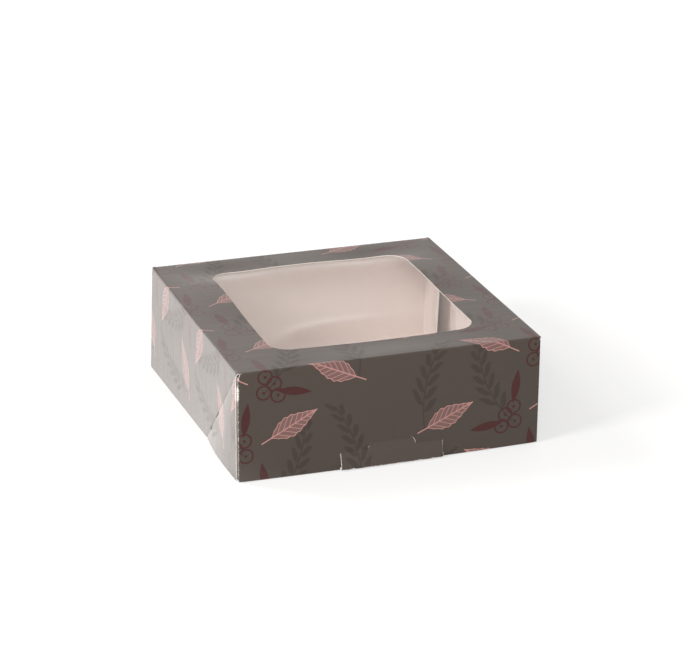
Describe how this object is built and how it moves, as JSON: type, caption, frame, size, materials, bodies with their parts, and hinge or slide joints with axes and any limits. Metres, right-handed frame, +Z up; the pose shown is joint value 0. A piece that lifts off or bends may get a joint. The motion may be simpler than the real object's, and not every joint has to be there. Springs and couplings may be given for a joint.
{
  "type": "cake box",
  "caption": "Square cake box of printed folding board: a glued-corner tray under a hinged lid with full-depth skirts, a clear film window and a lock tab.",
  "frame": {"origin": "under the middle of the closed box, on the surface that it stands on", "axes": "+Z up, -Y towards the front with the lock tab, +X to the right as seen from the front"},
  "size_m": [0.207, 0.2094, 0.075],
  "materials": {
    "printed_board": "satin varnished print outside, white inside",
    "clear_film": "clear, glossy",
    "glue": "dried carton glue"
  },
  "bodies": {
    "tray": {"base_panel": "printed_board", "tray_front_wall": "printed_board", "tray_back_wall": "printed_board", "tray_left_wall": "printed_board", "tray_right_wall": "printed_board", "tray_front_left_gusset": "printed_board", "tray_front_right_gusset": "printed_board", "tray_back_left_gusset": "printed_board", "tray_back_right_gusset": "printed_board", "tray_front_left_glue_tab": "printed_board", "tray_front_right_glue_tab": "printed_board", "tray_back_left_glue_tab": "printed_board", "tray_back_right_glue_tab": "printed_board", "tray_front_left_glue_patch": "glue", "tray_front_right_glue_patch": "glue", "tray_back_left_glue_patch": "glue", "tray_back_right_glue_patch": "glue"},
    "lid": {"lid_panel": "printed_board", "lid_front_skirt": "printed_board", "lid_left_skirt": "printed_board", "lid_right_skirt": "printed_board", "lid_left_gusset": "printed_board", "lid_right_gusset": "printed_board", "lid_left_glue_tab": "printed_board", "lid_right_glue_tab": "printed_board", "lid_left_glue_patch": "glue", "lid_right_glue_patch": "glue", "window_film": "clear_film", "film_glue_band": "glue"},
    "lock_tab": {"lock_tab": "printed_board"}
  },
  "joints": [
    {"name": "lid_hinge", "type": "hinge", "parent": "tray", "child": "lid", "pos_m": [0, 0.10365, 0.07435], "axis": [-1, 0, 0], "range_deg": [0, 178]},
    {"name": "lock_tab_pivot", "type": "hinge", "parent": "lid", "child": "lock_tab", "pos_m": [0, -0.1035, 0.012], "axis": [-1, 0, 0], "range_deg": [-16, 53]}
  ]
}
